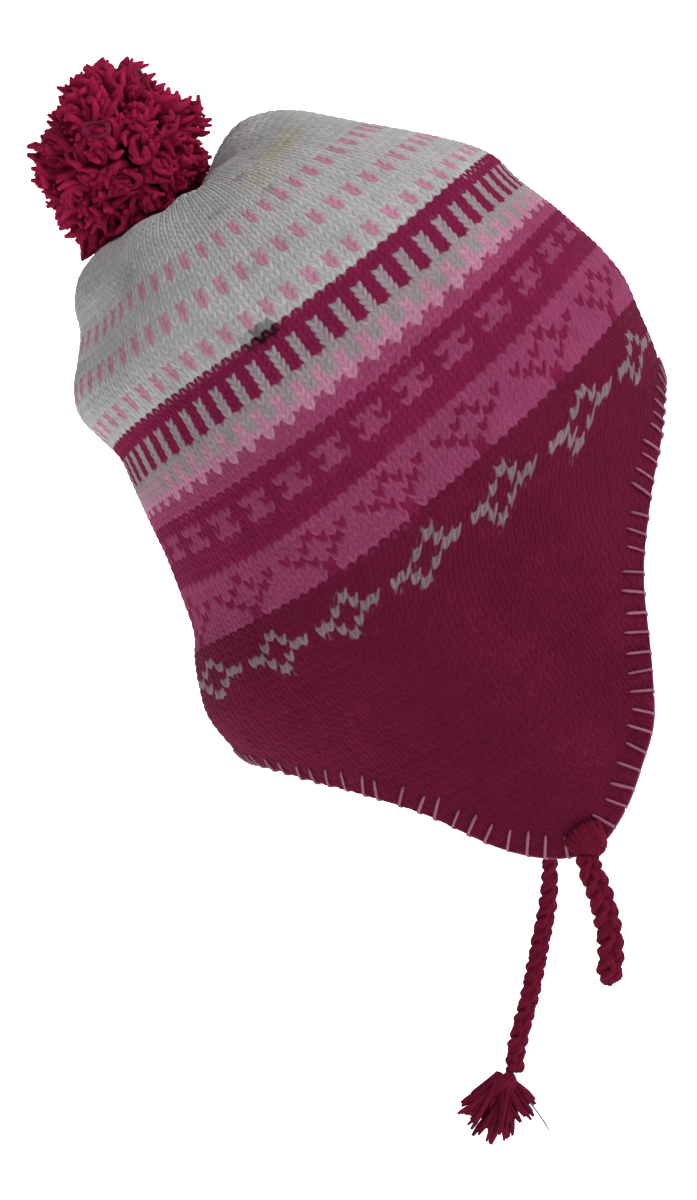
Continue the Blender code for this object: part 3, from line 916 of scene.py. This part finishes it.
# Painted shade and painted light of the purl face: its base share, and how much its bumps' crests
# gain and troughs lose
PURL_PAINTED_SHADE = 0.85
PURL_PAINTED_LIGHT = 0.19
INNER_LIFT = 0.0003
# Painted shade on the yarn behind the raised stitches
OUTER_PAINTED_SHADE = 0.92
RIM_OVER = 0.34
# Painted shade on the rim round the lower edge
RIM_PAINTED_SHADE = 0.9
RIM_RINGS = 5
POLE_ROW = 0.05
# Painted shade at the gathered middle of the crown, under the pompom
POLE_PAINTED_SHADE = 0.6
SHELL_TOP_ROW = 0.4
SHELL_FINE_TO = 60.0
SHELL_FINE = 60
SHELL_REST = 40


def shell_rows(limit, per_row):
    """Rows of the wall's grid: even down to SHELL_FINE_TO, then evenly to each column's edge."""
    fine = np.linspace(SHELL_TOP_ROW, SHELL_FINE_TO, SHELL_FINE * per_row + 1)
    rest = np.linspace(0.0, 1.0, SHELL_REST * per_row + 1)[1:]
    top = np.broadcast_to(fine[:, None], (len(fine), len(limit)))
    low = SHELL_FINE_TO + (limit[None, :] - SHELL_FINE_TO) * rest[:, None]
    return np.concatenate([top, low])


def knit_shell(name, look):
    """The yarn behind the raised stitches, the purl face inside and the rim that joins them."""
    cols = FIRST_COLUMN + np.arange(STITCHES * 2) / 2.0
    limit = last_row(cols)
    rows_out = shell_rows(limit, 1)
    all_cols = np.broadcast_to(cols, rows_out.shape)
    outer = world_wall(stitch_turn(all_cols, rows_out), rows_out, BASE_INSIDE)
    knit_out = np.round(stitch_row(cols, rows_out))
    # Painted shade: the yarn behind the raised stitches is darkened between them
    tint_out = chart_colours(knit_out, np.round(all_cols)) * OUTER_PAINTED_SHADE
    rows_in = shell_rows(limit, 3)
    all_cols = np.broadcast_to(cols, rows_in.shape)
    knit_in = stitch_row(cols, rows_in)
    waves = PURL_WAVE * np.cos(2 * math.pi * cols)
    bumps = PURL_HIGH * np.cos(2 * math.pi * (knit_in + waves))
    inner = world_wall(stitch_turn(all_cols, rows_in), rows_in, WALL - INNER_LIFT + bumps)
    # Painted light and shade on the purl face: lighter on the crests of its bumps, darker in the
    # troughs
    shade = PURL_PAINTED_SHADE + PURL_PAINTED_LIGHT * bumps[..., None] / PURL_HIGH
    tint_in = chart_colours(np.round(knit_in), np.round(all_cols)) * shade
    a = math.pi * np.arange(1, RIM_RINGS + 1)[:, None] / (RIM_RINGS + 1)
    depth = BASE_INSIDE + (WALL - INNER_LIFT - BASE_INSIDE) * (1 - np.cos(a)) / 2
    turn_rim = stitch_turn(cols, limit)
    rim = world_wall(turn_rim + 0 * a, limit + RIM_OVER * np.sin(a), depth + 0 * turn_rim)
    # Painted shade: the rim round the lower edge is darkened
    tint_rim = np.broadcast_to(linear(YARN_SRGB["R"]) * RIM_PAINTED_SHADE, rim.shape)
    stack = np.concatenate([outer, rim, inner[::-1]])
    tints = np.concatenate([tint_out, tint_rim, tint_in[::-1]])
    poles = world_wall(np.zeros(2), np.full(2, POLE_ROW), np.array([BASE_INSIDE, WALL]))
    points = np.concatenate([stack.reshape(-1, 3), poles])
    # Painted shade: the gathered middle of the crown is darkened
    tint_poles = np.tile(linear(YARN_SRGB["G"]) * POLE_PAINTED_SHADE, (2, 1))
    tint = np.concatenate([tints.reshape(-1, 3), tint_poles])
    count = len(cols)
    quads = grid_faces(len(stack), count, wrap_columns=True)
    j = np.arange(count)
    right = (j + 1) % count
    pole = np.full(count, len(stack) * count)
    base = (len(stack) - 1) * count
    first = np.stack([pole, right, j], axis=1)
    second = np.stack([pole + 1, base + j, base + right], axis=1)
    split = triangles(quads, first, second)
    return mesh_object(name, points, split, look, tint, np.zeros((len(points), 2)), sides=3)


def knitting(look):
    """All stitches of the outer face, in pieces, and the shell behind them."""
    pieces = [knit_shell("knit_shell", look)]
    columns = FIRST_COLUMN + np.arange(STITCHES)
    rows, cols = np.meshgrid(np.arange(FINE_FROM_ROW, STITCH_ROWS), columns, indexing="ij")
    keep = wall_row(cols, rows) < last_row(cols) + STITCH_OVER_EDGE
    for k in range(KNIT_PIECES):
        pick = keep & ((cols - FIRST_COLUMN) * KNIT_PIECES // STITCHES == k)
        pieces.append(knit_legs("knit_stitches_%d" % (k + 1), rows[pick], cols[pick], 1.0, look))
    top_rows, top_cols = np.meshgrid(np.arange(1, FINE_FROM_ROW), columns[::2])
    pieces.append(knit_legs("knit_stitches_top", top_rows.ravel(), top_cols.ravel(), 2.0, look))
    return pieces


EDGE_STEPS = 2881


def edge_arc():
    """Turns and distances along the lower edge, from the back round by the wearer's right."""
    turn = np.linspace(0, 2 * math.pi, EDGE_STEPS)
    return turn, distances(world_wall(turn, edge_row(turn)))


BLANKET_SPACING = 0.0066
BLANKET_LENGTH = 0.0074
BLANKET_RADIUS = 0.00048
BLANKET_LIFT = 0.00030
BLANKET_UNEVEN = 0.0005
SPOKE_LEAN = 0.10
SPOKE_OVER = 0.42
THREAD_THIN = 0.85
THREAD_OVER = 0.30
THREAD_SAG = 0.05
THREAD_INSIDE = 0.0010
THREAD_DEEPER = 0.0004
TURN_STEP = 0.004


def square_step(turn):
    """The step in turn and rows that goes one metre up the wall, square to the lower edge."""
    row = edge_row(np.array(turn))
    after = turn + TURN_STEP
    here = world_wall(turn, row)
    tangent = (world_wall(after, edge_row(np.array(after))) - here) / TURN_STEP
    around = (world_wall(after, row) - here) / TURN_STEP
    up = world_wall(turn, row - 1.0) - here
    edge = unit(tangent)
    square = unit(up - edge * (edge @ up)) + SPOKE_LEAN * shaker.normal() * edge
    step, *_ = np.linalg.lstsq(np.stack([around, up], axis=1), square, rcond=None)
    return step


def edge_stitches(look):
    """Blanket stitches over the lower edge: spokes outside and inside, and a yarn between them."""
    turns, along = edge_arc()
    total = along[-1]
    count = int(round(total / BLANKET_SPACING))
    at = (np.arange(count) + 0.5) * total / count + shaker.normal(0, BLANKET_UNEVEN, count)
    strands = []
    base = linear(EDGE_SRGB)
    s = np.linspace(0, 1, 7)
    over = np.sin(math.pi * s)
    half_round = math.pi * np.array([0.25, 0.5, 0.75])
    sag = np.sin(np.linspace(0, math.pi, 9))
    for k in range(count):
        turn = np.interp(at[k], along, turns)
        after = np.interp((at[k] + total / count) % total, along, turns)
        if after < turn:
            after += 2 * math.pi
        row = edge_row(np.array(turn))
        step = square_step(turn) * BLANKET_LENGTH * vary(0.86, 1.12)
        lift = -BLANKET_LIFT * (1 + over)
        outside = world_wall(turn + step[0] * (1 - s), row - step[1] * (1 - s), lift)
        round_row = row + SPOKE_OVER * np.sin(half_round)
        depth = WALL * (1 - np.cos(half_round)) / 2
        round_edge = world_wall(turn + 0 * half_round, round_row, depth)
        depth = WALL + BLANKET_LIFT * (0.7 + 0.7 * over)
        inside = world_wall(turn + step[0] * s, row - step[1] * s, depth)
        spoke = np.concatenate([outside, round_edge, inside])
        strands.append((spoke, BLANKET_RADIUS * vary(0.85, 1.15), 6, base * vary(0.80, 1.1)))
        thread = np.linspace(turn, after, 9)
        level = edge_row(thread) + THREAD_OVER + THREAD_SAG * sag
        line = world_wall(thread, level, THREAD_INSIDE + THREAD_DEEPER * sag)
        strands.append((line, BLANKET_RADIUS * THREAD_THIN, 6, base * vary(0.7, 0.95)))
    return yarns("edge_stitches", strands, look)


def crown_tree():
    """Points of the crown's wall in a search tree, and their normals."""
    turns, rows = np.meshgrid(np.radians(np.arange(0, 360, 3)), np.linspace(0.5, 30, 90))
    place = world_wall(turns.ravel(), rows.ravel())
    normal = to_world(outward(turns.ravel(), rows.ravel()) + SEAT)
    tree = kdtree.KDTree(len(place))
    for i, p in enumerate(place):
        tree.insert(p, i)
    tree.balance()
    return tree, place, normal


def spread_directions(count):
    """Directions spread evenly over a ball."""
    k = np.arange(count) + 0.5
    up = 1 - 2 * k / count
    turn = math.pi * (1 + math.sqrt(5)) * k
    flat = np.sqrt(1 - up * up)
    return np.stack([flat * np.cos(turn), flat * np.sin(turn), up], axis=1)


POMPOM_YARNS = 1500
POMPOM_YARN_RADIUS = 0.00125
POMPOM_YARN_FROM = 0.25
POMPOM_YARN_THICK = np.array([0.6, 0.7, 0.8, 0.9, 1.0, 1.05, 1.1, 1.15, 1.1, 0.85])
POMPOM_ABOVE = POMPOM_GAP + 0.0008
TUFTS = 95
TUFTS_UNEVEN = 0.20
WAYS_UNEVEN = 0.08
OWN_WAY = 0.66
TUFT_WAY = 0.34
POMPOM_DOME = 0.005
CURL = 0.0046
CURL_FROM = 0.55
CRIMP = 0.10
HANG = 0.30
HANG_TURN = 312.0
HANG_WIDE = 30.0
POMPOM_LEAN = 0.16
POMPOM_LEAN_TURN = 339.0
POMPOM_LEAN_WIDE = 11.0
LOOPS = 8
LOOP_AT = 0.84
LOOP_OUT = 0.006
LOOP_RADIUS = 0.00075


def pompom(look):
    """Crimped yarn ends spreading from the middle of the pompom, in tufts, and a few loops."""
    tree, place, normal = crown_tree()
    tip = math.radians(TIP_BACK)
    up = np.array([-math.sin(tip), 0.0, math.cos(tip)])
    forward = np.array([math.cos(tip), 0.0, math.sin(tip)])
    centre = world_wall(0.0, 0.01) + up * POMPOM_UP - forward * POMPOM_BACK
    off = shaker.normal(0, TUFTS_UNEVEN, (TUFTS, 3))
    tufts = unit(spread_directions(TUFTS) + off)
    tall = vary(0.86, 1.08, TUFTS)
    bright = vary(0.80, 1.15, TUFTS)
    off = shaker.normal(0, WAYS_UNEVEN, (POMPOM_YARNS, 3))
    way = unit(spread_directions(POMPOM_YARNS) + off)
    near = (way @ tufts.T).argmax(axis=1)
    bent = unit(OWN_WAY * way + TUFT_WAY * tufts[near])
    around = np.degrees(np.arctan2(bent[:, 2], bent[:, 0])) % 360.0
    reach = curve(POMPOM_OUTLINE, around, "reach")
    level = np.hypot(bent[:, 0], bent[:, 2]) ** 2
    reach = level * reach + (1 - level)
    hanging = np.exp(-(((around - HANG_TURN) / HANG_WIDE) ** 2))
    reach = reach + HANG * (hanging * np.sqrt(np.maximum(1 - level, 0)))
    leaning = np.exp(-(((around - POMPOM_LEAN_TURN) / POMPOM_LEAN_WIDE) ** 2))
    reach = reach + POMPOM_LEAN * level * leaning
    dip = np.degrees(np.arccos(np.clip((bent * tufts[near]).sum(axis=1), -1, 1)))
    reach = reach * tall[near] * (1 - POMPOM_DOME * dip) * vary(0.90, 1.03, POMPOM_YARNS)
    strands = []
    base = linear(POMPOM_SRGB)
    s = np.linspace(POMPOM_YARN_FROM, 1.0, len(POMPOM_YARN_THICK))
    late = np.clip((s - CURL_FROM) / 0.45, 0, 1)
    for k in range(POMPOM_YARNS):
        side = unit(np.cross(bent[k], shaker.normal(size=3)))
        other = np.cross(bent[k], side)
        long = POMPOM_RADIUS * reach[k]
        curl = CURL * vary(0.3, 1.4)
        spin = vary(2.0, 5.5)
        line = way[k][None] * (1 - s[:, None]) + bent[k][None] * s[:, None]
        line = centre + line * (long * s)[:, None]
        line = line - bent[k][None] * (0.35 * curl * late ** 2)[:, None]
        line = line + side * (curl * late ** 1.5 * np.cos(0.3 + spin * late))[:, None]
        line = line + other * (curl * late ** 1.2 * np.sin(spin * late))[:, None]
        for i, p in enumerate(line):
            _, nearest, _ = tree.find(p)
            above = float((p - place[nearest]) @ normal[nearest])
            if above < POMPOM_ABOVE:
                line[i] = p + normal[nearest] * (POMPOM_ABOVE - above)
        crimp = 1 + CRIMP * np.sin(9 * s + vary(0, 6))
        radius = POMPOM_YARN_RADIUS * vary(0.8, 1.15) * POMPOM_YARN_THICK * crimp
        strands.append((line, radius, 6, base * bright[near[k]] * vary(0.80, 1.18)))
    for k in range(LOOPS):
        out = unit(np.array([0.1, 1.0 if k % 2 else -1.0, 0.0]) + shaker.normal(0, 0.32, 3))
        side = unit(np.cross(out, shaker.normal(size=3)))
        other = np.cross(out, side)
        arc = np.linspace(-0.5, vary(1.9, 2.6), 16)
        wide, high = vary(0.0018, 0.0032), vary(0.005, 0.009)
        line = centre + out * (POMPOM_RADIUS * LOOP_AT)
        line = line + out * (LOOP_OUT * np.sin(arc))[:, None]
        line = line + side * (wide * np.cos(arc))[:, None]
        line = line + other * (high * np.sin(arc))[:, None]
        strands.append((line, LOOP_RADIUS, 6, linear(LOOP_SRGB) * vary(0.75, 1.1)))
    # Painted shade: the yarns darken towards the pompom's middle, among the other yarns
    return yarns("pompom_yarns", strands, look, deep=0.35)


ROOT_YARNS = 9
ROOT_BINDS = 5
ROOT_YARN_RADIUS = 0.00120
ROOT_BIND_RADIUS = 0.00100
ROOT_ROUND = 0.80
ROOT_FLOOR = 0.03


def tie_root(name, side, look):
    """The yarn sewn through a flap's tip: yarns down the pad, and a few that bind them across."""
    strands = []
    base = linear(TIE_SRGB)
    s = np.linspace(-1, 1, 13)
    for k in range(ROOT_YARNS):
        x = (k - 4) / 4.0
        across = ROOT_HALF_WIDTH * 0.86 * (x * (1 - 0.30 * s) + 0.05 * np.sin(3 * s + k))
        along = ROOT_HALF_HEIGHT * 0.93 * s * math.sqrt(1 - 0.45 * x * x)
        off = np.sqrt(np.clip(1 - ROOT_ROUND * (s * s + 0.55 * x * x), ROOT_FLOOR, 1))
        height = GAP + 0.0005 + (ROOT_THICK - 0.0008) * off * vary(0.9, 1.0)
        line = root_place(side, across, along, height)
        strands.append((line, ROOT_YARN_RADIUS, YARN_SIDES, base * vary(0.85, 1.2)))
    s = np.linspace(-1, 1, 9)
    for k in range(ROOT_BINDS):
        x = (k - 2) / 2.0
        across = ROOT_HALF_WIDTH * 0.80 * s * (1 - 0.2 * x * x)
        along = ROOT_HALF_HEIGHT * (0.62 * x + 0.10 * s)
        off = np.sqrt(np.clip(1 - ROOT_ROUND * (s * s + 0.40 * x * x), ROOT_FLOOR, 1))
        height = GAP + 0.0004 + (ROOT_THICK - 0.0016) * off
        line = root_place(side, across, along, height)
        strands.append((line, ROOT_BIND_RADIUS, YARN_SIDES, base * vary(0.8, 1.05)))
    return yarns(name, strands, look)


KNOT_TURNS = 8
KNOT_YARN_RADIUS = 0.00125
KNOT_YARN_INSIDE = 0.0013
LOCK_YARNS = 17
LOCK_YARN_RADIUS = 0.00105
STRAY_END = np.array([0.0176, 0.0015, -0.0190])
STRAY_BOW = np.array([0.0015, 0.0, 0.001])
STRAY_RADIUS = 0.00035
STRAY_SRGB = (0.55, 0.53, 0.53)


def tassel(name, end, look):
    """A knot of wound yarn with loose ends fanning out below it, and one thin stray end."""
    centre = np.asarray(end) - np.array([KNOT_BACK, 0.0, TIE_CLEAR + KNOT_RADIUS])
    base = linear(TIE_SRGB)
    strands = []
    a = np.linspace(0, 2 * math.pi, 25)
    wide = KNOT_RADIUS - KNOT_YARN_INSIDE
    for k in range(KNOT_TURNS):
        tilt = math.radians(-60 + 17 * k)
        axis = unit(np.array([math.sin(tilt) * 0.8, 0.35 * math.cos(k), math.cos(tilt)]))
        one = unit(np.cross(axis, (0.1, 1.0, 0.2)))
        two = np.cross(axis, one)
        line = centre + wide * (one * np.cos(a)[:, None] + two * np.sin(a)[:, None])
        strands.append((line, KNOT_YARN_RADIUS, YARN_SIDES, base * vary(0.9, 1.15)))
    for forward, out, drop, root, tip in TASSEL_LOCKS:
        way = unit(np.array([forward, out, -drop]))
        for _ in range(LOCK_YARNS):
            off = shaker.normal(size=3)
            off -= way * (off @ way)
            off *= 0.55 / max(np.linalg.norm(off), 1e-6) * math.sqrt(vary())
            s = np.linspace(0, vary(0.50, 1.02), 9)
            sweep = [forward * (0.84 * s + 0.16 * s ** 2), out * s, -drop * (s ** 1.05)]
            spread = root * 1.15 + (tip * 2.1 - root * 1.15) * s
            line = centre + np.stack(sweep, axis=1) + off[None] * spread[:, None] * 1.6
            wave = 0.0006 * np.sin(5 * s + vary(0, 6))
            line = line + np.cross(way, off)[None] * wave[:, None]
            strands.append((line, LOCK_YARN_RADIUS * vary(0.75, 1.1), 6, base * vary(0.75, 1.25)))
    s = np.linspace(0, 1, 9)[:, None]
    line = centre + STRAY_END * s + STRAY_BOW * np.sin(math.pi * s)
    strands.append((line, STRAY_RADIUS, 6, linear(STRAY_SRGB)))
    return yarns(name, strands, look)


WHITE = (1.0, 1.0, 1.0, 1.0)
SKY = 0.27
FLOOR_UP = -0.46
FLOOR_FRONT = -3.0
FLOOR_BACK = 1.2
FLOOR_CURVE = 0.8
WALL_TOP = 3.0
FLOOR_HALF_WIDTH = 4.0
PAPER_GLOW = 0.75
# Name, place, width and power of each light, and what it faces
LIGHTS = (
    ("key", (0.75, -0.60, 0.85), 0.8, 14.0, (0.02, 0.0, -0.12)),
    ("fill", (0.35, -1.1, -0.2), 1.2, 3.0, (0.02, 0.0, -0.12)),
    ("wall", (0.0, 0.6, 1.6), 1.6, 14.0, (0.0, 1.9, -0.2)),
)


def studio():
    """Pale floor and wall in one sweep, a soft light above in front and a weak fill."""
    world = bpy.data.worlds.new("studio")
    bpy.context.scene.world = world
    world.use_nodes = True
    sky = world.node_tree.nodes["Background"]
    put(sky, {"Color": WHITE, "Strength": SKY})
    line = [(FLOOR_FRONT, FLOOR_UP), (FLOOR_BACK, FLOOR_UP)]
    for k in range(1, 9):
        a = math.pi / 2 * k / 8
        rise = FLOOR_CURVE * (1 - math.cos(a))
        line.append((FLOOR_BACK + FLOOR_CURVE * math.sin(a), FLOOR_UP + rise))
    line.append((FLOOR_BACK + FLOOR_CURVE, WALL_TOP))
    points = [(x, y, z) for x in (-FLOOR_HALF_WIDTH, FLOOR_HALF_WIDTH) for y, z in line]
    count = len(line)
    faces = [(k, k + 1, count + k + 1, count + k) for k in range(count - 1)]
    paper, tree, shader = material("backdrop_paper")
    grain = node(tree, "ShaderNodeTexNoise", {"Scale": 40.0})
    ramp = node(tree, "ShaderNodeMapRange", {"To Min": 0.90, "To Max": 0.94})
    link(tree, grain, "Fac", ramp, "Value")
    link(tree, ramp, "Result", shader, "Base Color")
    put(shader, {"Roughness": 0.9, "Emission Color": WHITE, "Emission Strength": PAPER_GLOW})
    floor = mesh_object("backdrop", points, faces, paper)
    for name, place, width, power, target in LIGHTS:
        data = bpy.data.lights.new(name, "AREA")
        data.shape = "DISK"
        data.size = width
        data.energy = power
        made = add_object(name, data)
        made.location = place
        way = np.array(target) - np.array(place)
        pitch = math.atan2(math.hypot(way[0], way[1]), -way[2])
        made.rotation_euler = (pitch, 0.0, math.atan2(way[1], way[0]) - math.pi / 2)


bpy.context.scene.view_settings.view_transform = "Standard"
camera()
knit = yarn_material("knit_yarn", 0.30, 3.0, 0.45, 0.72)
plush = yarn_material("plush_yarn", 0.35, 2.2, 0.80, 0.50)
cord_yarn = yarn_material("cord_yarn", 0.25, 2.2, 0.70)
pale_yarn = yarn_material("pale_yarn", 0.30, 2.2, 0.60, 0.70)

right_path = tie_path(1, TIE_RIGHT, TIE_RIGHT_LENGTH)
left_path = tie_path(-1, TIE_LEFT, TIE_LEFT_LENGTH)
right_braid = braid("braid_right", right_path, cord_yarn, right_over, 0.92, 0.0025, False)
left_braid = braid("braid_left", left_path, cord_yarn, left_over, 0.85, 0.0017, True)
left_tassel = tassel("tassel_yarns", left_path[-1], cord_yarn)
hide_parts("tie_cord_right")
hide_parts("tie_cord_left")
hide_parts("tie_tassel_left")
right_root = tie_root("root_yarns_right", 1, cord_yarn)
left_root = tie_root("root_yarns_left", -1, cord_yarn)
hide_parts("tie_root_right")
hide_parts("tie_root_left")
knit_pieces = knitting(knit)
for piece in knit_pieces:
    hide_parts("hat_body")
stitches = edge_stitches(pale_yarn)
ball = pompom(plush)
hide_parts("pompom")
for piece in knit_pieces + [stitches]:
    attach(piece, "root")
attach(ball, "root")
for piece in (right_braid, left_braid, left_tassel, right_root, left_root):
    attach(piece, "root")
studio()
